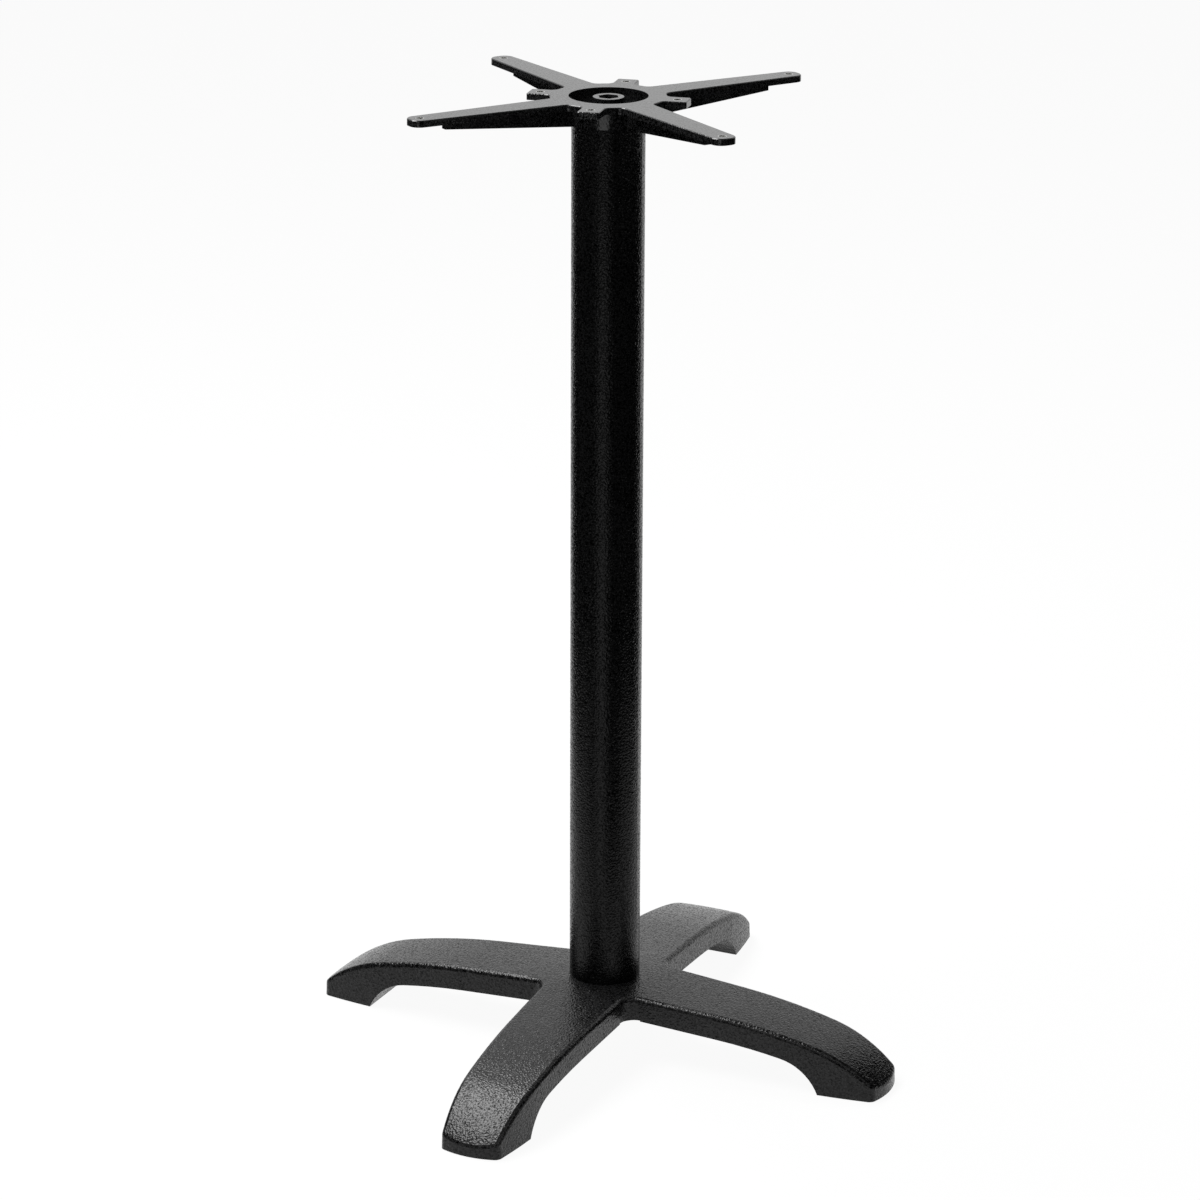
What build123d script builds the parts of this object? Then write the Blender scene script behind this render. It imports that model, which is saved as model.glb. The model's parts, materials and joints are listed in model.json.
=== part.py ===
from build123d import *
import os
from math import atan2, cos, hypot, radians, sin, sqrt, tan

os.makedirs("parts", exist_ok=True)

# Bar table base: a four-toed cast foot, a round steel column and a cast spider that carries the
# table top. A threaded rod inside the column clamps the three together. The toes stand on screwed
# glides that level the table. The toes point along X and Y, and Z is up from the floor.

# Overall sizes
base_height = 1045.0
toe_count = 4
hub_top = 77.6
sole_height = 0.9
pull_draft = 1.8

# Toe seen from above, as half-widths at the sole
toe_reach = 334.0
toe_root_half = 52.8
toe_waist_half = 42.5
toe_shoulder_half = 33.4
toe_flank_length = 84.0
toe_end_bulge = 6.5
toe_corner_round = 8.5
toe_root_round = 14.0

# Toe seen from the side: a flat seat, a straight back, a brow and a nose, and an arch under the back
seat_radius = 48.0
back_reach = 150.0
back_height = 70.8
brow_length = 74.0
brow_height = 54.3
nose_height = 13.0
toe_edge_round = 5.2
skirt_depth = 26.7
sole_length = 66.0
arch_run = 43.0
arch_rise = 34.2
arch_turn = 9.5

# Hollow underside of the foot
foot_wall = 5.5
foot_roof = 6.0
foot_rib = 6.0
hollow_corner_round = 4.0
hub_boss_radius = 27.0
root_rib_reach = 72.0

# Column and its seats
column_radius = 38.0
column_wall = 2.0
spigot_height = 6.0
spigot_wall = 6.0
socket_depth = 6.5
slip_fit = 0.15

# Spider under the table top
spider_turn = 55.6
arm_count = 4
arm_reach = 230.0
arm_root_half = 19.2
arm_tip_half = 12.3
arm_corner_round = 10.4
arm_hole_inset = 12.0
ear_reach = 84.0
ear_width = 23.0
ear_corner_round = 2.5
ear_hole_inset = 12.0
screw_hole_radius = 3.8
plate_radius = 60.0
plate_thickness = 7.0
plate_edge_break = 0.8
notch_round = 7.5
collar_depth = 27.0
collar_radius = 45.0
collar_taper = 8.0
pit_radius = 40.9
pit_depth = 15.0
arm_rib_width = 7.0
arm_rib_setback = 39.0
arm_rib_tip_depth = 14.0
nut_boss_radius = 16.0
nut_boss_drop = 1.0
nut_pocket_depth = 20.0
nut_pocket_floor = 5.0
nut_pocket_play = 0.4

# Clamping rod and its fasteners
rod_radius = 6.0
rod_hole_radius = 6.5
thread_play = 0.05
nut_flats = 19.0
nut_height = 10.0
nut_corner_angle = 30.0
washer_radius = 18.5
washer_thickness = 3.0
lock_washer_radius = 10.5
lock_washer_thickness = 2.5
lock_washer_gap = 2.0
rod_tail = 4.0
rod_end_break = 1.0

# Screwed glides in the soles
glide_pad_radius = 15.0
glide_pad_height = 8.0
glide_pad_bevel = 2.0
glide_collar_radius = 8.0
glide_collar_height = 2.0
glide_stud_radius = 4.0
glide_stud_length = 17.0
glide_stud_root = 5.0
glide_boss_radius = 10.0
glide_thread_spare = 2.0
glide_stop_gap = 0.3

# Heights and radii that follow from the sizes above
toe_shoulder_reach = toe_reach - toe_end_bulge
toe_waist_reach = toe_shoulder_reach - toe_flank_length
brow_reach = toe_reach - brow_length
skirt_height = hub_top - skirt_depth
sole_inner_reach = toe_reach - sole_length
arch_start_reach = sole_inner_reach - arch_run
arch_start_height = sole_height + arch_rise
arch_radius = hypot(arch_run, arch_rise) / (2 * sin(atan2(arch_rise, arch_run) - radians(arch_turn)))
arch_center_reach = arch_start_reach - arch_radius * sin(radians(arch_turn))
arch_center_height = arch_start_height - arch_radius * cos(radians(arch_turn))
glide_reach = toe_reach - sole_length / 2
column_inner_radius = column_radius - column_wall
arm_hole_reach = arm_reach - arm_hole_inset
ear_hole_reach = ear_reach - ear_hole_inset
arm_rib_reach = arm_reach - arm_rib_setback
plate_bottom = base_height - plate_thickness
collar_bottom = base_height - collar_depth
column_top = collar_bottom + socket_depth
nut_boss_top = base_height - nut_boss_drop
nut_seat = nut_boss_top - nut_pocket_depth
nut_boss_bottom = nut_seat - nut_pocket_floor
rod_top = nut_seat + nut_height + rod_tail
foot_washer_bottom = skirt_height - washer_thickness
lock_washer_bottom = foot_washer_bottom - lock_washer_thickness
foot_nut_bottom = lock_washer_bottom - nut_height
rod_bottom = foot_nut_bottom - rod_tail
glide_boss_bottom = glide_pad_height + glide_collar_height + glide_stop_gap
glide_stud_bottom = glide_pad_height + glide_collar_height - glide_stud_root
glide_stud_top = glide_pad_height + glide_collar_height + glide_stud_length
glide_bore_top = glide_stud_top + glide_thread_spare

# Run-out of cutting shapes past the faces that they cut
past_end = 12.0


def crown_section(drop):
    """Half-section of the foot under its top line, lowered by a drop, for turning about the centre."""
    with BuildSketch() as section_face:
        with BuildLine():
            Line((0, hub_top - drop), (seat_radius, hub_top - drop))
            back = Line((seat_radius, hub_top - drop), (back_reach, back_height - drop))
            brow = TangentArc(back @ 1, (brow_reach, brow_height - drop), tangent=back % 1)
            nose = TangentArc(brow @ 1, (toe_reach, nose_height - drop), tangent=brow % 1)
            run_out = Line(nose @ 1, (nose @ 1) + (nose % 1) * past_end)
            below = -2 * past_end
            Polyline(run_out @ 1, ((run_out @ 1).X, below), (0, below), (0, hub_top - drop))
        make_face()
    return section_face.sketch


def looks_up(face):
    """Tells whether a face of the foot is part of its top, rather than a drafted side wall."""
    return face.normal_at().Z > 2 * sin(radians(pull_draft))


def upright_faces(block):
    """Picks the side walls of an extruded block."""
    return block.faces().filter_by(lambda face: abs(face.normal_at().Z) < 0.5)


def rim_edges(faces):
    """Picks the outer edges of a group of faces that meet, without the edges between them."""
    edges = [edge for face in faces for edge in face.edges()]
    return [edge for edge in edges if sum(edge.is_same(other) for other in edges) == 1]


def toe_outline(inset):
    """Outline of one toe at the sole, drawn in by an inset: tapered sides and a bulged end."""
    shoulder = (toe_shoulder_reach - inset, toe_shoulder_half - inset)
    with BuildSketch() as outline:
        with BuildLine():
            side = Line((0, toe_root_half - inset), (toe_waist_reach, toe_waist_half - inset))
            TangentArc(side @ 1, shoulder, tangent=side % 1)
            mirror(about=Plane.XZ)
            ThreePointArc(shoulder, (toe_reach - inset, 0), (shoulder[0], -shoulder[1]))
            Line((0, toe_root_half - inset), (0, inset - toe_root_half))
        make_face()
    return outline.sketch


def foot_outline(inset, corner_round):
    """Outline of the whole foot at the sole, with its roots and corners rounded."""
    toe = toe_outline(inset)
    with BuildSketch() as outline:
        with PolarLocations(0, toe_count):
            add(toe)
        fillet(outline.vertices().sort_by_distance((0, 0))[:toe_count], toe_root_round + inset)
        fillet(outline.vertices().sort_by_distance((0, 0))[-2 * toe_count :], corner_round)
    return outline.sketch


foot_plan = foot_outline(0, toe_corner_round)
hollow_plan = foot_outline(foot_wall, hollow_corner_round)
foot_section = crown_section(0)
hollow_section = crown_section(foot_roof)

# Open space under one toe, between the hub and the sole
with BuildPart() as toe_arch:
    with BuildSketch(Plane.XZ):
        with BuildLine():
            Line((0, skirt_height), (seat_radius, skirt_height))
            belly = Line((seat_radius, skirt_height), (back_reach, back_height - skirt_depth))
            rise = TangentArc(belly @ 1, (arch_start_reach, arch_start_height), tangent=belly % 1)
            bend = RadiusArc(rise @ 1, (sole_inner_reach, sole_height), arch_radius)
            Polyline(bend @ 1, (sole_inner_reach, -past_end), (0, -past_end), (0, skirt_height))
        make_face()
    extrude(amount=toe_root_half + past_end, both=True)

# Wall across one toe, between the open arch and the hollow sole
with BuildPart() as toe_bulkhead:
    with BuildSketch(Plane.XZ):
        with Locations((arch_center_reach, arch_center_height)):
            Circle(arch_radius + foot_wall)
        with Locations((arch_start_reach + toe_reach / 2, 0)):
            Rectangle(toe_reach, 2 * arch_start_height, mode=Mode.INTERSECT)
        with Locations((arch_start_reach, arch_start_height)):
            Rectangle(foot_wall, hub_top, align=(Align.MIN, Align.CENTER))
    extrude(amount=toe_root_half + past_end, both=True)

# Hollow of the foot, with the ribs, bosses and bulkheads left standing in it
with BuildPart() as foot_hollow:
    with BuildSketch(Plane.XY.offset(sole_height)):
        add(hollow_plan)
    extrude(amount=hub_top)
    draft(upright_faces(foot_hollow), Plane.XY.offset(sole_height), pull_draft)
    with BuildSketch(Plane.XZ):
        add(hollow_section)
    revolve(axis=Axis.Z, mode=Mode.INTERSECT)
    with PolarLocations(0, toe_count):
        add(toe_bulkhead.part, mode=Mode.SUBTRACT)
    with BuildSketch(Plane.XY.offset(sole_height)):
        Circle(hub_boss_radius)
        with PolarLocations(0, toe_count):
            Rectangle(arch_start_reach, foot_rib, align=(Align.MIN, Align.CENTER))
        with PolarLocations(0, toe_count, start_angle=180 / toe_count):
            Rectangle(root_rib_reach, foot_rib, align=(Align.MIN, Align.CENTER))
    extrude(amount=hub_top, mode=Mode.SUBTRACT)
    with BuildSketch(Plane.XY.offset(glide_boss_bottom)):
        with PolarLocations(glide_reach, toe_count):
            Circle(glide_boss_radius)
    extrude(amount=hub_top, mode=Mode.SUBTRACT)

# Foot: one casting, hollow below, with a spigot that centres the column
with BuildPart() as foot_casting:
    with BuildSketch(Plane.XY.offset(sole_height)):
        add(foot_plan)
    extrude(amount=hub_top)
    draft(upright_faces(foot_casting), Plane.XY.offset(sole_height), pull_draft)
    with BuildSketch(Plane.XZ):
        add(foot_section)
    revolve(axis=Axis.Z, mode=Mode.INTERSECT)
    fillet(rim_edges(foot_casting.faces().filter_by(looks_up)), toe_edge_round)
    with PolarLocations(0, toe_count):
        add(toe_arch.part, mode=Mode.SUBTRACT)
    add(foot_hollow.part, mode=Mode.SUBTRACT)
    with BuildSketch(Plane.XY.offset(hub_top)):
        Circle(column_inner_radius - slip_fit)
        Circle(column_inner_radius - slip_fit - spigot_wall, mode=Mode.SUBTRACT)
    extrude(amount=spigot_height)
    with BuildSketch(Plane.XY.offset(skirt_height)):
        Circle(rod_hole_radius)
    extrude(amount=skirt_depth, mode=Mode.SUBTRACT)
    with BuildSketch(Plane.XY.offset(glide_boss_bottom)):
        with PolarLocations(glide_reach, toe_count):
            Circle(glide_stud_radius + thread_play)
    extrude(amount=glide_bore_top - glide_boss_bottom, mode=Mode.SUBTRACT)
foot_casting.part.label = "foot_casting"
export_step(foot_casting.part, "parts/foot_casting.step")

# Column: a plain round tube that stands on the foot and ends in the spider's socket
with BuildPart() as column_tube:
    with BuildSketch(Plane.XY.offset(hub_top)):
        Circle(column_radius)
        Circle(column_inner_radius, mode=Mode.SUBTRACT)
    extrude(amount=column_top - hub_top)
column_tube.part.label = "column_tube"
export_step(column_tube.part, "parts/column_tube.step")

# Outline of one spider arm, tapered to a rounded tip
with BuildSketch() as arm_plan:
    with BuildLine():
        Polyline(
            (0, arm_root_half),
            (arm_reach, arm_tip_half),
            (arm_reach, -arm_tip_half),
            (0, -arm_root_half),
            close=True,
        )
    make_face()
    fillet(arm_plan.vertices().group_by(Axis.X)[-1], arm_corner_round)

# Outline of one ear, the short lug between two arms
with BuildSketch() as ear_plan:
    Rectangle(ear_reach, ear_width, align=(Align.MIN, Align.CENTER))
    fillet(ear_plan.vertices().group_by(Axis.X)[-1], ear_corner_round)

# Outline of the spider's plate
with BuildSketch() as spider_plan:
    Circle(plate_radius)
    with PolarLocations(0, arm_count, start_angle=spider_turn):
        add(arm_plan.sketch)
    with PolarLocations(0, arm_count, start_angle=spider_turn + 180 / arm_count):
        add(ear_plan.sketch)
    corner_rings = spider_plan.vertices().group_by(lambda corner: round(Vector(corner).length, 1))
    fillet(corner_rings[0], notch_round)

# Rib under one arm, deep at the collar and stepped off before the tip
with BuildPart() as arm_rib:
    with BuildSketch(Plane.XZ):
        with BuildLine():
            Polyline(
                (pit_radius, plate_bottom),
                (arm_rib_reach, plate_bottom),
                (arm_rib_reach, base_height - arm_rib_tip_depth),
                (collar_radius, collar_bottom),
                (pit_radius, collar_bottom),
                close=True,
            )
        make_face()
    extrude(amount=arm_rib_width / 2, both=True)

# Spider: one casting with ribbed arms, a socket for the column and a hexagonal seat for the rod's nut
with BuildPart() as top_spider:
    with BuildSketch(Plane.XY.offset(plate_bottom)):
        add(spider_plan.sketch)
    extrude(amount=plate_thickness)
    chamfer(top_spider.edges().group_by(Axis.Z)[-1], plate_edge_break)
    with BuildSketch(Plane.XY.offset(plate_bottom)):
        Circle(collar_radius)
    extrude(amount=collar_bottom - plate_bottom, taper=collar_taper)
    with PolarLocations(0, arm_count, start_angle=spider_turn):
        add(arm_rib.part)
    with BuildSketch(Plane.XY.offset(base_height)):
        Circle(pit_radius)
    extrude(amount=-pit_depth, mode=Mode.SUBTRACT)
    with BuildSketch(Plane.XY.offset(collar_bottom)):
        Circle(column_radius + slip_fit)
    extrude(amount=socket_depth, mode=Mode.SUBTRACT)
    with BuildSketch(Plane.XY.offset(nut_boss_bottom)):
        Circle(nut_boss_radius)
    extrude(amount=nut_boss_top - nut_boss_bottom)
    with BuildSketch(Plane.XY.offset(nut_seat)):
        RegularPolygon((nut_flats + nut_pocket_play) / 2, 6, major_radius=False)
    extrude(amount=nut_pocket_depth, mode=Mode.SUBTRACT)
    with BuildSketch(Plane.XY.offset(nut_boss_bottom)):
        Circle(rod_hole_radius)
    extrude(amount=nut_pocket_floor, mode=Mode.SUBTRACT)
    with BuildSketch(Plane.XY.offset(plate_bottom)):
        with PolarLocations(arm_hole_reach, arm_count, start_angle=spider_turn):
            Circle(screw_hole_radius)
        with PolarLocations(ear_hole_reach, arm_count, start_angle=spider_turn + 180 / arm_count):
            Circle(screw_hole_radius)
    extrude(amount=plate_thickness, mode=Mode.SUBTRACT)
top_spider.part.label = "top_spider"
export_step(top_spider.part, "parts/top_spider.step")

# Threaded rod through the column, shown at its outer diameter
with BuildPart() as tie_rod:
    with BuildSketch(Plane.XY.offset(rod_bottom)):
        Circle(rod_radius)
    extrude(amount=rod_top - rod_bottom)
    chamfer(tie_rod.edges().filter_by(GeomType.CIRCLE), rod_end_break)
tie_rod.part.label = "tie_rod"
export_step(tie_rod.part, "parts/tie_rod.step")

# Flat washer under the foot's hub
with BuildPart() as foot_washer:
    with BuildSketch(Plane.XY.offset(foot_washer_bottom)):
        Circle(washer_radius)
        Circle(rod_hole_radius, mode=Mode.SUBTRACT)
    extrude(amount=washer_thickness)
foot_washer.part.label = "foot_washer"
export_step(foot_washer.part, "parts/foot_washer.step")

# Split lock washer between the flat washer and the nut
with BuildPart() as foot_lock_washer:
    with BuildSketch(Plane.XY.offset(lock_washer_bottom)):
        Circle(lock_washer_radius)
        Circle(rod_radius + slip_fit, mode=Mode.SUBTRACT)
        Rectangle(lock_washer_radius, lock_washer_gap, align=(Align.MIN, Align.CENTER), mode=Mode.SUBTRACT)
    extrude(amount=lock_washer_thickness)
foot_lock_washer.part.label = "foot_lock_washer"
export_step(foot_lock_washer.part, "parts/foot_lock_washer.step")


# Nuts: one clamps the stack from below, the other is held in the spider's hexagonal pocket
nut_corner_radius = nut_flats / sqrt(3)
nut_corner_drop = (nut_corner_radius - nut_flats / 2) * tan(radians(nut_corner_angle))
for nut_name, nut_bottom in (("foot_nut", foot_nut_bottom), ("top_nut", nut_seat)):
    nut_top = nut_bottom + nut_height
    with BuildPart() as nut:
        with BuildSketch(Plane.XY.offset(nut_bottom)):
            RegularPolygon(nut_flats / 2, 6, major_radius=False)
            Circle(rod_radius + thread_play, mode=Mode.SUBTRACT)
        extrude(amount=nut_height)
        with BuildSketch(Plane.XZ):
            with BuildLine():
                Polyline(
                    (0, nut_bottom),
                    (nut_flats / 2, nut_bottom),
                    (nut_corner_radius, nut_bottom + nut_corner_drop),
                    (nut_corner_radius, nut_top - nut_corner_drop),
                    (nut_flats / 2, nut_top),
                    (0, nut_top),
                    close=True,
                )
            make_face()
        revolve(axis=Axis.Z, mode=Mode.INTERSECT)
    nut.part.label = nut_name
    export_step(nut.part, f"parts/{nut_name}.step")

# Glides: a steel stud in each toe with a moulded pad on its lower end
for index in range(toe_count):
    toe_angle = radians(360 / toe_count * index)
    glide_plane = Plane((glide_reach * cos(toe_angle), glide_reach * sin(toe_angle), 0))

    with BuildPart() as glide_stud:
        with BuildSketch(glide_plane.offset(glide_stud_bottom)):
            Circle(glide_stud_radius)
        extrude(amount=glide_stud_top - glide_stud_bottom)
        chamfer(glide_stud.edges().group_by(Axis.Z)[-1], rod_end_break)
    glide_stud.part.label = f"glide_stud_{index + 1}"
    export_step(glide_stud.part, f"parts/glide_stud_{index + 1}.step")

    with BuildPart() as glide_pad:
        with BuildSketch(glide_plane):
            Circle(glide_pad_radius)
        extrude(amount=glide_pad_height)
        chamfer(glide_pad.edges().filter_by(GeomType.CIRCLE), glide_pad_bevel)
        with BuildSketch(glide_plane.offset(glide_pad_height)):
            Circle(glide_collar_radius)
        extrude(amount=glide_collar_height)
        with BuildSketch(glide_plane.offset(glide_stud_bottom)):
            Circle(glide_stud_radius)
        extrude(amount=glide_stud_root, mode=Mode.SUBTRACT)
    glide_pad.part.label = f"glide_pad_{index + 1}"
    export_step(glide_pad.part, f"parts/glide_pad_{index + 1}.step")
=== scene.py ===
import json
import math

import bpy
from bpy.props import FloatProperty, FloatVectorProperty, IntProperty, PointerProperty
from mathutils import Matrix, Vector


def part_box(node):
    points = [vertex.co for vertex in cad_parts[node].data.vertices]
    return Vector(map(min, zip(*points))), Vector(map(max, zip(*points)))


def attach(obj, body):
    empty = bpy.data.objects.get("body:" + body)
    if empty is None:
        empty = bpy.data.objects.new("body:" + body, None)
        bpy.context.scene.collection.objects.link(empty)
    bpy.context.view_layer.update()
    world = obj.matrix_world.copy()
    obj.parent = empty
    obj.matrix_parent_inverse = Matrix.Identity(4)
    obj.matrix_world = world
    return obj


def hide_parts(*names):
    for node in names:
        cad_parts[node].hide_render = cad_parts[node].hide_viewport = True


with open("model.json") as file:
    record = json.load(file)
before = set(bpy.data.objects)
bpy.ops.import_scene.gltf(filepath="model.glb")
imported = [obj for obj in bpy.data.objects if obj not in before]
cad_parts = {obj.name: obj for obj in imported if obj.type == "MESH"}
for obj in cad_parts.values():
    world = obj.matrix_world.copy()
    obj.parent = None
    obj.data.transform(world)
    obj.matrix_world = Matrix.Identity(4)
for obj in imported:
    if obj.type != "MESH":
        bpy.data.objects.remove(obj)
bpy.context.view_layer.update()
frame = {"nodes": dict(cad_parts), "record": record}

bl_info = {
    "name": "Bar Table Base",
    "version": (1, 0, 0),
    "blender": (4, 5, 0),
    "location": "View3D > Sidebar > Table Base",
    "description": "Powder coat, threads and studio for a cast bar table base",
    "category": "Object",
}

TOE_COUNT = sum(name.startswith("glide_stud_") for name in frame["nodes"])
MOUNTS = {mount["name"]: mount for mount in frame["record"]["mounts"]}
MM = 0.001
WHITE = (1.0, 1.0, 1.0, 1.0)
BLACK = (0.0, 0.0, 0.0, 1.0)

# The grain of a powder coat: fine noise and pebbles make its height, and wide patches vary it; its colour
# is painted lighter on the raised tops as a glint
PATCH_GRAINS = 30  # width of a patch, in grains
NOISE_SHARE = 0.6  # share of noise in the height; the rest is pebbles
PEBBLE_SMOOTHNESS = 0.6  # how far neighbouring pebbles run together
GLINT_GAIN = 3.0  # how fast the painted glint brightens with the height of the grain
PATCH_TONE = 0.4  # how much a patch brightens the colour, a tone that differs at random
GLINT_AND_TONE_OFFSET = 0.1  # keeps the mean of the painted glint and tone at the coat's colour
GLINT_AND_TONE_COLOUR = 3.0  # the brightest painted glint, as a multiple of the coat's colour
GRAIN_ROUGHNESS = 2.0  # how much the noise changes the roughness: its tops are glossier
PATCH_ROUGHNESS = 0.1  # how much a patch changes the roughness
LEAST_ROUGHNESS = 0.08
SPIDER_GRAIN = 0.3  # the spider's grain, as a share of the foot's

# Zinc plate: its shades as shares of its colour, the roughness that each mark adds, and sizes in metres
ZINC_SHADES = (0.8, 1.1)
ZINC_ROUGHNESS = 0.3
SPANGLE_ROUGHNESS = 0.15
SPANGLE_SIZE = 0.004
ZINC_SCUFF_ROUGHNESS = 0.1
ZINC_SCUFF_SIZE = 0.0006
ZINC_SCUFF_DEPTH = 0.00002

# Moulded nylon, in the same way
NYLON_SHADES = (0.8, 1.3)
NYLON_ROUGHNESS = 0.42
NYLON_GRAIN_SIZE = 0.0005
NYLON_GRAIN_DEPTH = 0.00003
NYLON_SCUFF_ROUGHNESS = 0.2
NYLON_SCUFF_SIZE = 0.006

# A metric thread, in pitches: its depth, the flat at its root and the width of one flank
THREAD_DEPTH = 0.6134
ROOT_FLAT = 0.25
FLANK_WIDTH = 0.3125
PROFILE_POINTS = 9
SPARE_TURNS = 2  # wound past the ends, so that both are cut off level
MERGE_DISTANCE = 0.00002
CREASE_ANGLE = math.radians(35)

# The stage: the camera's frame in millimetres, and how far the cloth lies above the floor
FRAME_WIDTH = 36.0
CLOTH_LIFT = 0.0005


# Node trees written as expressions


class Value:
    """One output socket that takes Python's operators: each operator adds a Math node."""

    def __init__(self, tree, socket):
        self.tree = tree
        self.socket = socket

    def __add__(self, other):
        return self.tree.math("ADD", self, other)

    def __radd__(self, other):
        return self.tree.math("ADD", other, self)

    def __sub__(self, other):
        return self.tree.math("SUBTRACT", self, other)

    def __rsub__(self, other):
        return self.tree.math("SUBTRACT", other, self)

    def __mul__(self, other):
        return self.tree.math("MULTIPLY", self, other)

    def __rmul__(self, other):
        return self.tree.math("MULTIPLY", other, self)

    def __truediv__(self, other):
        return self.tree.math("DIVIDE", self, other)

    def __rtruediv__(self, other):
        return self.tree.math("DIVIDE", other, self)

    def __pow__(self, other):
        return self.tree.math("POWER", self, other)

    def __lt__(self, other):
        return self.tree.math("LESS_THAN", self, other)

    def __gt__(self, other):
        return self.tree.math("GREATER_THAN", self, other)

    def __abs__(self):
        return self.tree.math("ABSOLUTE", self)


class Tree:
    """A shader or geometry node tree, filled by calls that return values."""

    def __init__(self, tree):
        self.tree = tree
        tree.nodes.clear()

    def node(self, kind, settings=None, sockets=None, output=0):
        """Adds a node: its settings first, then the values or links of its sockets, by name or number."""
        node = self.tree.nodes.new(kind)
        for name, value in (settings or {}).items():
            setattr(node, name, value)
        for name, value in (sockets or {}).items():
            self.feed(self.pick(node.inputs, name), value)
        return Value(self, self.pick(node.outputs, output))

    def pick(self, sockets, name):
        """Finds a socket by number, or by name among those that the node's settings leave in use."""
        if isinstance(name, int):
            return sockets[name]
        return next(socket for socket in sockets if socket.enabled and socket.name == name)

    def feed(self, socket, value):
        """Links a value to a socket, or sets a plain number, colour or datablock on it."""
        if isinstance(value, Value):
            self.tree.links.new(value.socket, socket)
        else:
            socket.default_value = value

    def math(self, operation, first, second=0.0):
        """Adds a Math node for an expression."""
        return self.node("ShaderNodeMath", {"operation": operation}, {0: first, 1: second})

    def smaller(self, first, second):
        return self.math("MINIMUM", first, second)

    def larger(self, first, second):
        return self.math("MAXIMUM", first, second)

    def limited(self, value, low=0.0, high=1.0):
        return self.smaller(self.larger(value, low), high)

    def split(self, vector):
        """Gives a vector's three parts as values."""
        parts = self.node("ShaderNodeSeparateXYZ", None, {"Vector": vector})
        outputs = parts.socket.node.outputs
        return tuple(Value(self, outputs[axis]) for axis in "XYZ")

    def join(self, x, y, z):
        """Makes a vector of three values."""
        return self.node("ShaderNodeCombineXYZ", None, {"X": x, "Y": y, "Z": z})


class Surface(Tree):
    """The node tree of one material, on Object coordinates."""

    def __init__(self, name):
        self.material = bpy.data.materials.new(name)
        self.material.use_nodes = True
        super().__init__(self.material.node_tree)
        self.place = self.node("ShaderNodeTexCoord", None, None, "Object")

    def noise(self, grain, detail=2.0, sharpness=0.5):
        """Cloudy noise whose features are about one grain wide, in metres, from 0 to 1."""
        sockets = {"Vector": self.place, "Scale": 1 / grain, "Detail": detail, "Roughness": sharpness}
        return self.node("ShaderNodeTexNoise", None, sockets, "Fac")

    def pebbles(self, grain):
        """Rounded bumps about one grain wide, in metres: 0 at their middles."""
        sockets = {"Vector": self.place, "Scale": 1 / grain, "Smoothness": PEBBLE_SMOOTHNESS}
        return self.node("ShaderNodeTexVoronoi", {"feature": "SMOOTH_F1"}, sockets, "Distance")

    def blend(self, share, low, high):
        """Mixes two colours by a share from 0 to 1."""
        sockets = {"Factor": share, "A": low, "B": high}
        return self.node("ShaderNodeMix", {"data_type": "RGBA"}, sockets, "Result")

    def bump(self, height, depth):
        """A normal that follows a height field of that depth, in metres."""
        return self.node("ShaderNodeBump", None, {"Height": height, "Distance": depth, "Strength": 1.0})

    def finish(self, **sockets):
        """Closes the material with a Principled shader."""
        named = {name.replace("_", " ").title(): value for name, value in sockets.items()}
        named = {name.replace("Ior", "IOR"): value for name, value in named.items()}
        shader = self.node("ShaderNodeBsdfPrincipled", None, named)
        self.node_output(shader)
        return self.material

    def node_output(self, shader):
        """Links a shader to the material's output."""
        output = self.tree.nodes.new("ShaderNodeOutputMaterial")
        self.tree.links.new(shader.socket, output.inputs["Surface"])


def opaque(colour, share=1.0):
    """A colour times a share, with full alpha."""
    return (colour[0] * share, colour[1] * share, colour[2] * share, 1.0)


# Sizes and colours that a user would change


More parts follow.
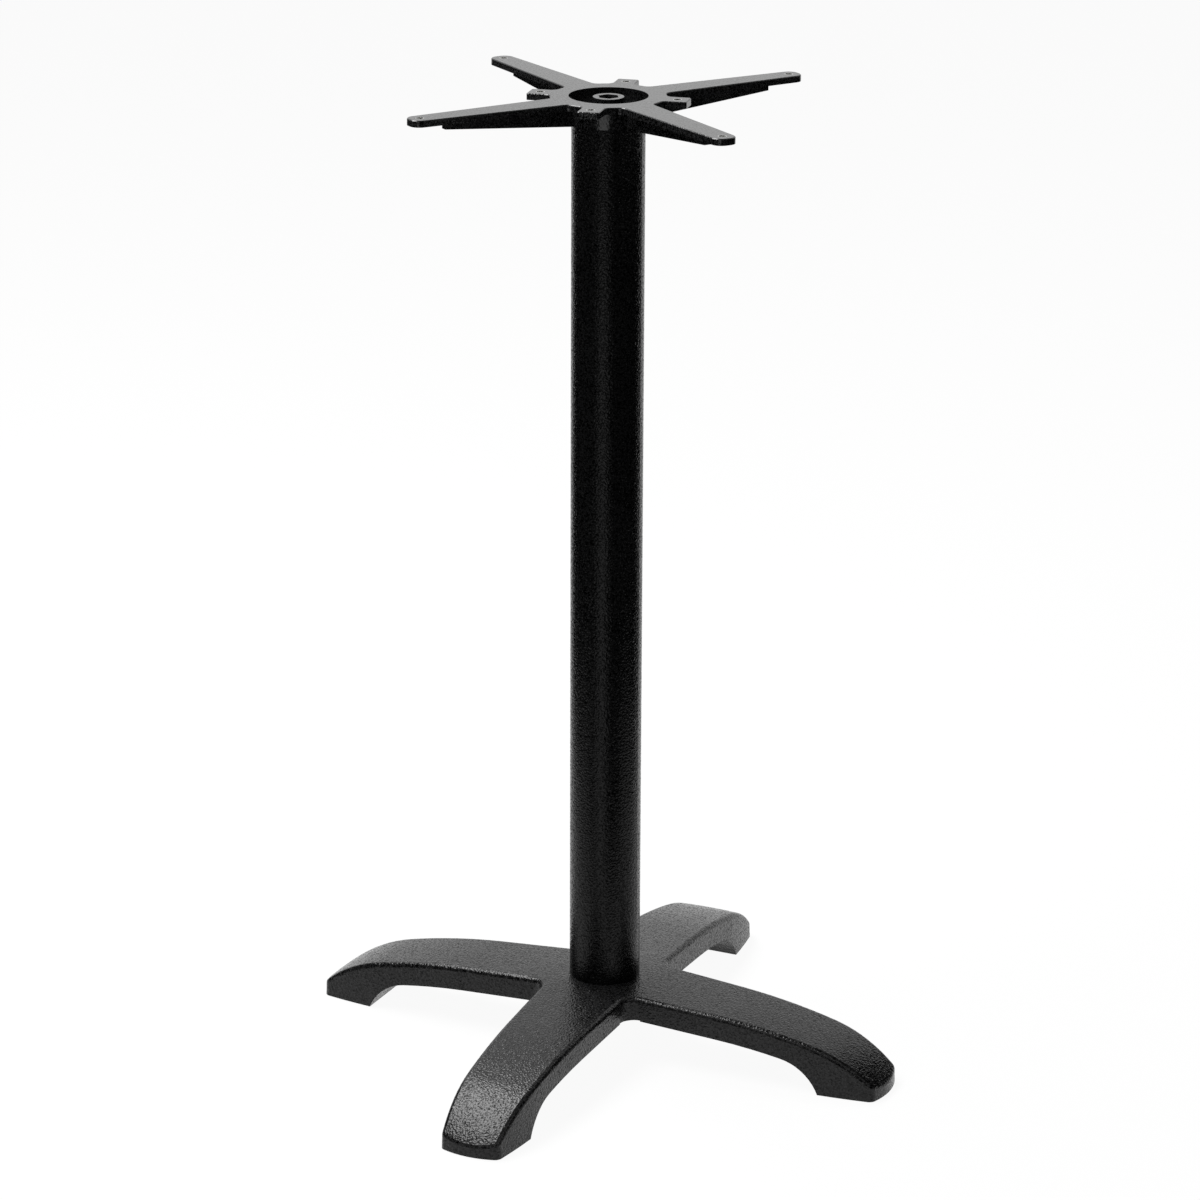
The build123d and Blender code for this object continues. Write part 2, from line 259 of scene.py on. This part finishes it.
class CoatSettings(bpy.types.PropertyGroup):
    """Black powder coat on the castings and the column."""

    casting_colour: FloatVectorProperty(
        name="Casting Colour", description="Mean colour of the coat on foot and spider",
        subtype="COLOR", default=(0.006, 0.006, 0.0062), min=0.0, max=1.0)
    # Painted shade: the tube wears the castings' black coat, made darker here
    column_shaded_colour: FloatVectorProperty(
        name="Column Colour", description="Mean colour of the coat on the tube",
        subtype="COLOR", default=(0.0025, 0.0025, 0.0026), min=0.0, max=1.0)
    foot_roughness: FloatProperty(
        name="Foot Roughness", description="Roughness of the coat on the foot, before grain varies it",
        subtype="FACTOR", default=0.17, min=0.0, max=1.0)
    spider_roughness: FloatProperty(
        name="Spider Roughness", description="Roughness of the coat on the spider, before grain varies it",
        subtype="FACTOR", default=0.15, min=0.0, max=1.0)
    column_roughness: FloatProperty(
        name="Column Roughness", description="Roughness of the coat on the tube, before grain varies it",
        subtype="FACTOR", default=0.2, min=0.0, max=1.0)
    grain_size: FloatProperty(
        name="Grain Size", description="Width of one pebble of the coat",
        unit="LENGTH", subtype="DISTANCE", default=0.0022, min=0.0002, precision=5)
    grain_depth: FloatProperty(
        name="Grain Depth", description="Depth of the bump that the grain makes",
        unit="LENGTH", subtype="DISTANCE", default=0.00076, min=0.0, precision=6)
    bare_colour: FloatVectorProperty(
        name="Bare Metal", description="Colour of the drilled holes, where the coat is gone",
        subtype="COLOR", default=(0.72, 0.72, 0.70), min=0.0, max=1.0)
    bare_edge: FloatProperty(
        name="Bare Edge", description="Width of the bare ring round a drilled hole",
        unit="LENGTH", subtype="DISTANCE", default=0.0006, min=0.0, precision=5)
    foot_ior: FloatProperty(
        name="Foot IOR", description="Refractive index of the coat on the foot, which sets its gloss",
        default=1.34, min=1.0, max=2.5)
    spider_ior: FloatProperty(
        name="Spider IOR", description="Refractive index of the coat on the spider",
        default=1.5, min=1.0, max=2.5)
    column_ior: FloatProperty(
        name="Column IOR", description="Refractive index of the coat on the tube",
        default=1.27, min=1.0, max=2.5)
    arm_turn: FloatProperty(
        name="Arm Turn", description="Angle of the spider's first arm from the X axis",
        unit="ROTATION", subtype="ANGLE", default=math.radians(55.6))


class FastenerSettings(bpy.types.PropertyGroup):
    """Rod, nuts, washers and glides."""

    zinc_colour: FloatVectorProperty(
        name="Zinc Colour", description="Colour of the zinc-plated steel",
        subtype="COLOR", default=(0.55, 0.56, 0.57), min=0.0, max=1.0)
    nylon_colour: FloatVectorProperty(
        name="Nylon Colour", description="Colour of the moulded glide pads",
        subtype="COLOR", default=(0.03, 0.03, 0.03), min=0.0, max=1.0)
    rod_pitch: FloatProperty(
        name="Rod Pitch", description="Rise of the rod's thread in one turn",
        unit="LENGTH", subtype="DISTANCE", default=0.00175, min=0.0005, precision=5)
    stud_pitch: FloatProperty(
        name="Stud Pitch", description="Rise of a glide stud's thread in one turn",
        unit="LENGTH", subtype="DISTANCE", default=0.00125, min=0.0005, precision=5)
    turn_steps: IntProperty(
        name="Steps per Turn", description="Flat steps in one turn of a thread",
        default=16, min=6, max=64)


class StageSettings(bpy.types.PropertyGroup):
    """Camera, floor and lights."""

    camera_turn: FloatProperty(
        name="Camera Turn", description="Angle of the camera round the column, from the -Y side",
        unit="ROTATION", subtype="ANGLE", default=math.radians(24.922))
    camera_distance: FloatProperty(
        name="Camera Distance", description="Distance of the camera from the column, along the floor",
        unit="LENGTH", subtype="DISTANCE", default=4.3894, min=0.1)
    camera_height: FloatProperty(
        name="Camera Height", description="Height of the camera above the floor",
        unit="LENGTH", subtype="DISTANCE", default=1.9782)
    camera_pitch: FloatProperty(
        name="Camera Pitch", description="Angle by which the camera looks down",
        unit="ROTATION", subtype="ANGLE", default=0.32413)
    camera_pan: FloatProperty(
        name="Camera Pan", description="Angle by which the camera looks past the column",
        unit="ROTATION", subtype="ANGLE", default=-0.00151)
    camera_roll: FloatProperty(
        name="Camera Roll", description="Tilt of the camera about its own axis",
        unit="ROTATION", subtype="ANGLE", default=0.00405)
    lens: FloatProperty(
        name="Lens", description="Focal length on a 36 mm frame",
        unit="CAMERA", default=131.46, min=1.0)
    floor_size: FloatProperty(
        name="Floor Size", description="Side of the floor",
        unit="LENGTH", subtype="DISTANCE", default=60.0, min=1.0)
    floor_colour: FloatVectorProperty(
        name="Floor Colour", description="Colour of the floor",
        subtype="COLOR", default=(0.92, 0.92, 0.92), min=0.0, max=1.0)
    floor_glow: FloatProperty(
        name="Floor Glow", description="Share of plain white in the floor, which leaves a fainter shadow",
        subtype="FACTOR", default=0.94, min=0.0, max=1.0)
    wall_top: FloatProperty(
        name="Wall Top", description="Angle above the floor up to which the studio's walls are white",
        unit="ROTATION", subtype="ANGLE", default=math.radians(45), min=0.0, max=math.pi / 2)
    ceiling_edge: FloatProperty(
        name="Ceiling Edge", description="Angle above the floor from which the studio's ceiling is dark",
        unit="ROTATION", subtype="ANGLE", default=math.radians(65), min=0.0, max=math.pi / 2)
    ceiling_level: FloatProperty(
        name="Ceiling Level", description="Brightness of the ceiling, where the walls are 1",
        default=0.08, min=0.0, max=1.0)
    sky_level: FloatProperty(
        name="Sky Level", description="Share of the walls' light that falls on matt surfaces",
        subtype="FACTOR", default=0.3, min=0.0, max=1.0)
    softbox_length: FloatProperty(
        name="Softbox Length", description="Long side of the soft light overhead",
        unit="LENGTH", subtype="DISTANCE", default=3.5, min=0.01)
    softbox_width: FloatProperty(
        name="Softbox Width", description="Short side of the soft light overhead",
        unit="LENGTH", subtype="DISTANCE", default=1.5, min=0.01)
    softbox_height: FloatProperty(
        name="Softbox Height", description="Height of the soft light above the floor",
        unit="LENGTH", subtype="DISTANCE", default=3.24, min=0.1)
    softbox_setback: FloatProperty(
        name="Softbox Setback", description="How far the soft light stands behind the column",
        unit="LENGTH", subtype="DISTANCE", default=0.43)
    softbox_shift: FloatProperty(
        name="Softbox Shift", description="How far the soft light stands to the left of the column",
        unit="LENGTH", subtype="DISTANCE", default=1.4)
    softbox_power: FloatProperty(
        name="Softbox Power", description="Power of the soft light",
        unit="POWER", default=185.0, min=0.0)
    curtain_distance: FloatProperty(
        name="Curtain Distance",
        description="Distance of the black curtain behind the camera from the column",
        unit="LENGTH", subtype="DISTANCE", default=5.0, min=0.1)
    curtain_height: FloatProperty(
        name="Curtain Height", description="Height of the black curtain behind the camera",
        unit="LENGTH", subtype="DISTANCE", default=3.0, min=0.1)
    cloth_start: FloatProperty(
        name="Cloth Start",
        description="Distance in front of the column, below the picture, where the black cloth begins",
        unit="LENGTH", subtype="DISTANCE", default=0.43, min=0.01)
    lane_turn: FloatProperty(
        name="Lane Turn",
        description="Angle round the column, from the camera, of the bare lane in the cloth",
        unit="ROTATION", subtype="ANGLE", default=math.radians(-14))
    lane_width: FloatProperty(
        name="Lane Width", description="Angle that the bare lane in the cloth takes up",
        unit="ROTATION", subtype="ANGLE", default=math.radians(28), min=0.0)
    flag_distance: FloatProperty(
        name="Flag Distance", description="Distance of the black flags at both sides from the column",
        unit="LENGTH", subtype="DISTANCE", default=0.8, min=0.05)
    flag_height: FloatProperty(
        name="Flag Height", description="Height of the black flags",
        unit="LENGTH", subtype="DISTANCE", default=1.0, min=0.05)
    flag_front: FloatProperty(
        name="Flag Front", description="How far the black flags reach in front of the column",
        unit="LENGTH", subtype="DISTANCE", default=0.8)
    flag_left_back: FloatProperty(
        name="Left Flag Back", description="How far the left flag reaches behind the column",
        unit="LENGTH", subtype="DISTANCE", default=0.89)
    flag_right_back: FloatProperty(
        name="Right Flag Back", description="How far the right flag reaches behind the column",
        unit="LENGTH", subtype="DISTANCE", default=0.56)


# Materials


def powder_coat(name, coat, colour, roughness, ior, grain_share=1.0):
    """A black coat with a fine grain. Returns the surface and its sockets, still open for more."""
    surface = Surface(name)
    grain = surface.noise(coat.grain_size, detail=1.0)
    pebble = 1 - surface.pebbles(coat.grain_size)
    patch = surface.noise(coat.grain_size * PATCH_GRAINS)
    height = grain * NOISE_SHARE + pebble * (1 - NOISE_SHARE)
    # Painted glint: the coat's colour is lighter where the grain stands higher, and patches add a tone
    # that differs at random
    glint_and_tone = surface.limited((height - 0.5) * GLINT_GAIN + patch * PATCH_TONE + GLINT_AND_TONE_OFFSET)
    rough = roughness + (0.5 - grain) * (GRAIN_ROUGHNESS * grain_share) + (patch - 0.5) * PATCH_ROUGHNESS
    sockets = {
        "base_color": surface.blend(glint_and_tone, BLACK, opaque(colour, GLINT_AND_TONE_COLOUR)),
        "roughness": surface.limited(rough, LEAST_ROUGHNESS),
        "normal": surface.bump(height, coat.grain_depth * grain_share),
        "ior": ior,
    }
    return surface, sockets


def drilled_mask(surface, turn, edge):
    """Is 1 in the spider's drilled holes and on a thin ring round them, and 0 elsewhere."""
    spin = surface.node(
        "ShaderNodeVectorRotate", {"rotation_type": "Z_AXIS"}, {"Vector": surface.place, "Angle": -turn})
    x, y = surface.split(spin)[:2]
    far = surface.larger(abs(x), abs(y))
    near = surface.smaller(abs(x), abs(y))
    mask = 0.0
    for mount, angle in (("arm_screws", 0.0), ("ear_screws", math.pi / 4)):
        dims = MOUNTS[mount]["dims"]
        reach = dims["pcd_mm"] / 2 * MM
        offset = ((far - reach * math.cos(angle)) ** 2 + (near - reach * math.sin(angle)) ** 2) ** 0.5
        mask = (offset < dims["hole_r_mm"] * MM + edge) + mask
    return surface.limited(mask)


def zinc_plate(fasteners):
    """Dull zinc plate with fine spangles and scuffs."""
    surface = Surface("zinc_plate")
    spangle = surface.noise(SPANGLE_SIZE, detail=3.0)
    scuff = surface.noise(ZINC_SCUFF_SIZE, detail=4.0, sharpness=0.65)
    dark, light = (opaque(fasteners.zinc_colour, shade) for shade in ZINC_SHADES)
    return surface.finish(
        base_color=surface.blend(spangle, dark, light),
        metallic=1.0,
        roughness=ZINC_ROUGHNESS + spangle * SPANGLE_ROUGHNESS + scuff * ZINC_SCUFF_ROUGHNESS,
        normal=surface.bump(scuff, ZINC_SCUFF_DEPTH),
    )


def zinc_material(fasteners):
    """The one zinc material, made when it is first asked for."""
    return bpy.data.materials.get("zinc_plate") or zinc_plate(fasteners)


def moulded_nylon(fasteners):
    """Black moulded nylon with a faint spark-eroded grain."""
    surface = Surface("moulded_nylon")
    grain = surface.noise(NYLON_GRAIN_SIZE, detail=3.0)
    scuff = surface.noise(NYLON_SCUFF_SIZE, detail=4.0, sharpness=0.7)
    dark, light = (opaque(fasteners.nylon_colour, shade) for shade in NYLON_SHADES)
    return surface.finish(
        base_color=surface.blend(scuff, dark, light),
        roughness=NYLON_ROUGHNESS + scuff * NYLON_SCUFF_ROUGHNESS,
        normal=surface.bump(grain, NYLON_GRAIN_DEPTH),
    )


def wear(node, material):
    """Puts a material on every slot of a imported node."""
    for slot in frame["nodes"][node].material_slots:
        slot.material = material


# Threads


def thread_tree():
    """Geometry nodes for a screw thread: a strip of its profile wound up a cylinder, with closed ends."""
    group = bpy.data.node_groups.new("screw_thread", "GeometryNodeTree")
    inputs = (
        ("Crest Radius", "NodeSocketFloat"), ("Depth", "NodeSocketFloat"), ("Pitch", "NodeSocketFloat"),
        ("Bottom", "NodeSocketFloat"), ("Top", "NodeSocketFloat"), ("Steps", "NodeSocketInt"),
        ("Centre", "NodeSocketVector"), ("Material", "NodeSocketMaterial"),
    )
    for name, kind in inputs:
        group.interface.new_socket(name, in_out="INPUT", socket_type=kind)
    group.interface.new_socket("Geometry", in_out="OUTPUT", socket_type="NodeSocketGeometry")
    tree = Tree(group)
    given = tree.node("NodeGroupInput").socket.node.outputs
    crest, depth, pitch, bottom, top, steps, centre, material = (
        Value(tree, given[name]) for name, kind in inputs)

    # The strip starts a pitch below the bottom and is cut off level at both ends, with a chamfer.
    root = crest - depth
    turns = tree.math("CEIL", (top - bottom) / pitch) + SPARE_TURNS
    strip = tree.node("GeometryNodeMeshGrid", None, {
        "Size X": 1.0, "Size Y": 1.0, "Vertices X": turns * steps + 1, "Vertices Y": PROFILE_POINTS})
    along, across = tree.split(tree.node("GeometryNodeInputPosition"))[:2]
    wound = (along + 0.5) * turns
    across = across + 0.5
    height = tree.limited(bottom + (wound + across - 1) * pitch, bottom, top)
    flank = tree.limited(tree.smaller(across - ROOT_FLAT, 1 - across) / FLANK_WIDTH)
    radius = tree.smaller(root + depth * flank, root + tree.smaller(height - bottom, top - height))
    angle = tree.math("FRACT", wound) * math.tau
    place = tree.join(radius * tree.math("COSINE", angle), radius * tree.math("SINE", angle), height)
    screw = tree.node("GeometryNodeSetPosition", None, {"Geometry": strip, "Position": place})

    cap = tree.node(
        "GeometryNodeMeshCircle", {"fill_type": "TRIANGLE_FAN"}, {"Vertices": steps, "Radius": root})
    lower_cap = tree.node("GeometryNodeFlipFaces", None, {"Mesh": cap})
    closed = tree.node("GeometryNodeJoinGeometry")
    gather = closed.socket.node.inputs["Geometry"]
    tree.feed(gather, screw)
    for end, level in ((lower_cap, bottom), (cap, top)):
        shift = {"Geometry": end, "Translation": tree.join(0.0, 0.0, level)}
        tree.feed(gather, tree.node("GeometryNodeTransform", None, shift))
    merged = tree.node(
        "GeometryNodeMergeByDistance", None, {"Geometry": closed, "Distance": MERGE_DISTANCE})
    moved = tree.node("GeometryNodeTransform", None, {"Geometry": merged, "Translation": centre})
    smooth = tree.node("GeometryNodeSetShadeSmooth", {"domain": "FACE"}, {"Geometry": moved})
    crease = tree.node("GeometryNodeInputMeshEdgeAngle", None, None, "Unsigned Angle") > CREASE_ANGLE
    sharp = tree.node("GeometryNodeSetShadeSmooth", {"domain": "EDGE"}, {
        "Geometry": smooth, "Selection": crease, "Shade Smooth": False})
    real = tree.node("GeometryNodeRealizeInstances", None, {"Geometry": sharp})
    dressed = tree.node("GeometryNodeSetMaterial", None, {"Geometry": real, "Material": material})
    output = group.nodes.new("NodeGroupOutput")
    tree.feed(output.inputs["Geometry"], dressed)
    return group


def threaded(name, node, pitch, steps, material):
    """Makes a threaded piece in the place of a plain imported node, as a plain mesh at the origin."""
    low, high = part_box(node)
    centre = (low + high) / 2
    crest = (high.x - low.x) / 2
    group = bpy.data.node_groups.get("screw_thread") or thread_tree()
    values = {
        "Crest Radius": crest, "Depth": THREAD_DEPTH * pitch, "Pitch": pitch,
        "Bottom": low.z, "Top": high.z, "Steps": steps,
        "Centre": Vector((centre.x, centre.y, 0.0)), "Material": material,
    }
    piece = bpy.data.objects.new(name, bpy.data.meshes.new(name))
    bpy.context.scene.collection.objects.link(piece)
    modifier = piece.modifiers.new("thread", "NODES")
    modifier.node_group = group
    for item in group.interface.items_tree:
        if item.in_out == "INPUT":
            modifier[item.identifier] = values[item.name]
    depsgraph = bpy.context.evaluated_depsgraph_get()
    mesh = bpy.data.meshes.new_from_object(piece.evaluated_get(depsgraph))
    piece.modifiers.clear()
    piece.data = mesh
    mesh.name = name
    if not mesh.polygons:
        raise RuntimeError(f"{name} came out empty")
    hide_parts(node)
    return piece


# Operators


class TABLE_BASE_OT_coat_foot(bpy.types.Operator):
    """Coat the foot casting"""

    bl_idname = "table_base.coat_foot"
    bl_label = "Coat Foot"

    def execute(self, context):
        coat = context.scene.table_base_coat
        surface, sockets = powder_coat(
            "foot_coat", coat, coat.casting_colour, coat.foot_roughness, coat.foot_ior)
        wear("foot_casting", surface.finish(**sockets))
        return {"FINISHED"}


class TABLE_BASE_OT_coat_spider(bpy.types.Operator):
    """Coat the spider and bare its drilled holes"""

    bl_idname = "table_base.coat_spider"
    bl_label = "Coat Spider"

    def execute(self, context):
        coat = context.scene.table_base_coat
        surface, sockets = powder_coat(
            "spider_coat", coat, coat.casting_colour, coat.spider_roughness, coat.spider_ior, SPIDER_GRAIN)
        bare = drilled_mask(surface, coat.arm_turn, coat.bare_edge)
        sockets["base_color"] = surface.blend(bare, sockets["base_color"], opaque(coat.bare_colour))
        sockets["metallic"] = bare
        wear("top_spider", surface.finish(**sockets))
        return {"FINISHED"}


class TABLE_BASE_OT_coat_column(bpy.types.Operator):
    """Coat the column tube"""

    bl_idname = "table_base.coat_column"
    bl_label = "Coat Column"

    def execute(self, context):
        coat = context.scene.table_base_coat
        # The tube's colour is the castings' black coat painted darker, a painted shade
        surface, sockets = powder_coat(
            "column_coat", coat, coat.column_shaded_colour, coat.column_roughness, coat.column_ior)
        wear("column_tube", surface.finish(**sockets))
        return {"FINISHED"}


class TABLE_BASE_OT_plate_fasteners(bpy.types.Operator):
    """Zinc-plate the nuts and washers"""

    bl_idname = "table_base.plate_fasteners"
    bl_label = "Plate Nuts and Washers"

    def execute(self, context):
        zinc = zinc_material(context.scene.table_base_fasteners)
        for node in ("foot_nut", "top_nut", "foot_washer", "foot_lock_washer"):
            wear(node, zinc)
        return {"FINISHED"}


class TABLE_BASE_OT_thread_rod(bpy.types.Operator):
    """Cut the thread of the tie rod"""

    bl_idname = "table_base.thread_rod"
    bl_label = "Thread Tie Rod"

    def execute(self, context):
        fasteners = context.scene.table_base_fasteners
        zinc = zinc_material(fasteners)
        rod = threaded("threaded_rod", "tie_rod", fasteners.rod_pitch, fasteners.turn_steps, zinc)
        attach(rod, "base")
        return {"FINISHED"}


class TABLE_BASE_OT_thread_studs(bpy.types.Operator):
    """Cut the threads of the glide studs"""

    bl_idname = "table_base.thread_studs"
    bl_label = "Thread Glide Studs"

    def execute(self, context):
        fasteners = context.scene.table_base_fasteners
        zinc = zinc_material(fasteners)
        for number in range(1, TOE_COUNT + 1):
            stud = threaded(f"threaded_stud_{number}", f"glide_stud_{number}", fasteners.stud_pitch,
                            fasteners.turn_steps, zinc)
            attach(stud, f"glide_{number}")
        return {"FINISHED"}


class TABLE_BASE_OT_mould_pads(bpy.types.Operator):
    """Finish the moulded glide pads"""

    bl_idname = "table_base.mould_pads"
    bl_label = "Mould Glide Pads"

    def execute(self, context):
        nylon = moulded_nylon(context.scene.table_base_fasteners)
        for number in range(1, TOE_COUNT + 1):
            wear(f"glide_pad_{number}", nylon)
        return {"FINISHED"}


# Stage


def add_panel(name, corners, material):
    """Adds a stage panel with one face on four corners."""
    mesh = bpy.data.meshes.new(name)
    mesh.from_pydata(corners, [], [(0, 1, 2, 3)])
    mesh.materials.append(material)
    panel = bpy.data.objects.new(name, mesh)
    bpy.context.scene.collection.objects.link(panel)
    return panel


def seen_directly(tree):
    """Is 1 for rays from the camera, mirrors and glass, and 0 for the rest."""
    path = tree.node("ShaderNodeLightPath").socket.node.outputs
    names = ("Is Camera Ray", "Is Glossy Ray", "Is Transmission Ray")
    camera, glossy, through = (Value(tree, path[name]) for name in names)
    return tree.limited(camera + glossy + through)


def build_floor(stage):
    """A plain pale floor that keeps a soft shadow and is clear from below."""
    surface = Surface("floor_paper")
    paper = surface.node("ShaderNodeBsdfDiffuse", None, {"Color": opaque(stage.floor_colour)})
    white = surface.node("ShaderNodeEmission", None, {"Color": WHITE, "Strength": 1.0})
    share = seen_directly(surface) * stage.floor_glow
    top = surface.node("ShaderNodeMixShader", None, {0: share, 1: paper, 2: white})
    clear = surface.node("ShaderNodeBsdfTransparent")
    below = surface.node("ShaderNodeNewGeometry", None, None, "Backfacing")
    surface.node_output(surface.node("ShaderNodeMixShader", None, {0: below, 1: top, 2: clear}))
    half = stage.floor_size / 2
    corners = [(-half, -half, 0), (half, -half, 0), (half, half, 0), (-half, half, 0)]
    add_panel("studio_floor", corners, surface.material)


def build_dark_room(stage, to_camera, sideways):
    """Black cloth outside the picture: behind the camera, on the floor in front and at both sides."""
    cloth = Surface("black_cloth")
    cloth.node_output(cloth.node("ShaderNodeBsdfDiffuse", None, {"Color": BLACK}))
    far, near = stage.curtain_distance, stage.cloth_start
    lane_left = math.tan(stage.lane_turn - stage.lane_width / 2)
    lane_right = math.tan(stage.lane_turn + stage.lane_width / 2)
    side, front = stage.flag_distance, stage.flag_front

    def wall(height, *feet):
        """Corners of an upright panel, as steps to the right, towards the camera and up."""
        return [(*foot, 0) for foot in feet] + [(*foot, height) for foot in reversed(feet)]

    def laid(*feet):
        """Corners of a panel on the floor."""
        return [(*foot, CLOTH_LIFT) for foot in feet]

    panels = {
        "curtain": wall(stage.curtain_height, (-far, far), (far, far)),
        "flag_left": wall(stage.flag_height, (-side, front), (-side, -stage.flag_left_back)),
        "flag_right": wall(stage.flag_height, (side, front), (side, -stage.flag_right_back)),
        "cloth_left": laid((-far, near), (near * lane_left, near), (far * lane_left, far), (-far, far)),
        "cloth_right": laid((near * lane_right, near), (far, near), (far, far), (far * lane_right, far)),
    }
    up = Vector((0, 0, 1))
    for name, corners in panels.items():
        places = [sideways * across + to_camera * ahead + up * height for across, ahead, height in corners]
        panel = add_panel(name, places, cloth.material)
        panel.visible_camera = False
        panel.visible_diffuse = False
        panel.visible_shadow = False


def build_softbox(stage, to_camera, sideways):
    """One soft light overhead, on the left and a little behind the column, aimed at the foot."""
    light = bpy.data.lights.new("softbox", "AREA")
    light.shape = "RECTANGLE"
    light.size = stage.softbox_length
    light.size_y = stage.softbox_width
    light.energy = stage.softbox_power
    softbox = bpy.data.objects.new("softbox", light)
    bpy.context.scene.collection.objects.link(softbox)
    shift = to_camera * stage.softbox_setback + sideways * stage.softbox_shift
    softbox.location = Vector((0, 0, stage.softbox_height)) - shift
    softbox.rotation_euler = (-softbox.location).to_track_quat("-Z", "Y").to_euler()
    softbox.visible_camera = False


def build_sky(stage):
    """White studio walls all round under a dark ceiling."""
    world = bpy.data.worlds.new("studio_sky")
    bpy.context.scene.world = world
    world.use_nodes = True
    tree = Tree(world.node_tree)
    rise = tree.split(tree.node("ShaderNodeTexCoord", None, None, "Generated"))[2]
    low, high = math.sin(stage.wall_top), math.sin(stage.ceiling_edge)
    level = 1 - tree.limited((rise - low) / (high - low)) * (1 - stage.ceiling_level)
    strength = level * (stage.sky_level + seen_directly(tree) * (1 - stage.sky_level))
    sky = tree.node("ShaderNodeBackground", None, {"Color": WHITE, "Strength": strength})
    output = tree.tree.nodes.new("ShaderNodeOutputWorld")
    tree.tree.links.new(sky.socket, output.inputs["Surface"])
    world.cycles.sampling_method = "NONE"


def build_camera(stage):
    """A camera at the photograph's angle."""
    pan, pitch, roll = stage.camera_pan, stage.camera_pitch, stage.camera_roll
    forward = Vector((math.sin(pan) * math.cos(pitch), math.cos(pan) * math.cos(pitch), -math.sin(pitch)))
    level = Vector((math.cos(pan), -math.sin(pan), 0.0))
    up = level.cross(forward)
    right = level * math.cos(roll) + up * math.sin(roll)
    up = right.cross(forward)
    look = Matrix((right, up, -forward)).transposed().to_4x4()
    seat = Matrix.Translation((0.0, -stage.camera_distance, stage.camera_height))
    data = bpy.data.cameras.new("photo_camera")
    data.lens = stage.lens
    data.sensor_width = FRAME_WIDTH
    data.clip_end = 2 * stage.floor_size
    camera = bpy.data.objects.new("photo_camera", data)
    bpy.context.scene.collection.objects.link(camera)
    camera.matrix_world = Matrix.Rotation(stage.camera_turn, 4, "Z") @ seat @ look
    bpy.context.scene.camera = camera


class TABLE_BASE_OT_build_stage(bpy.types.Operator):
    """Set up the camera, floor and studio light"""

    bl_idname = "table_base.build_stage"
    bl_label = "Build Stage"

    def execute(self, context):
        stage = context.scene.table_base_stage
        turn = Matrix.Rotation(stage.camera_turn, 3, "Z")
        to_camera = turn @ Vector((0, -1, 0))
        sideways = turn @ Vector((1, 0, 0))
        build_camera(stage)
        build_floor(stage)
        build_dark_room(stage, to_camera, sideways)
        build_softbox(stage, to_camera, sideways)
        build_sky(stage)
        context.scene.view_settings.view_transform = "Standard"
        return {"FINISHED"}


# Panel and registration


class VIEW3D_PT_table_base(bpy.types.Panel):
    """Steps and sizes of the bar table base"""

    bl_label = "Table Base"
    bl_space_type = "VIEW_3D"
    bl_region_type = "UI"
    bl_category = "Table Base"

    def draw(self, context):
        for step in STEPS:
            self.layout.operator(step.bl_idname)
        for name in SETTINGS:
            group = getattr(context.scene, name)
            box = self.layout.box()
            for key in group.bl_rna.properties.keys():
                if key not in ("rna_type", "name"):
                    box.prop(group, key)


STEPS = (
    TABLE_BASE_OT_coat_foot,
    TABLE_BASE_OT_coat_spider,
    TABLE_BASE_OT_coat_column,
    TABLE_BASE_OT_plate_fasteners,
    TABLE_BASE_OT_thread_rod,
    TABLE_BASE_OT_thread_studs,
    TABLE_BASE_OT_mould_pads,
    TABLE_BASE_OT_build_stage,
)
SETTINGS = {
    "table_base_coat": CoatSettings,
    "table_base_fasteners": FastenerSettings,
    "table_base_stage": StageSettings,
}


def register():
    for name, group in SETTINGS.items():
        bpy.utils.register_class(group)
        setattr(bpy.types.Scene, name, PointerProperty(type=group))
    for cls in (*STEPS, VIEW3D_PT_table_base):
        bpy.utils.register_class(cls)


def unregister():
    for cls in reversed((*STEPS, VIEW3D_PT_table_base)):
        bpy.utils.unregister_class(cls)
    for name, group in SETTINGS.items():
        delattr(bpy.types.Scene, name)
        bpy.utils.unregister_class(group)


def main():
    register()
    for step in STEPS:
        category, name = step.bl_idname.split(".")
        getattr(getattr(bpy.ops, category), name)()


if __name__ == "__main__":
    main()
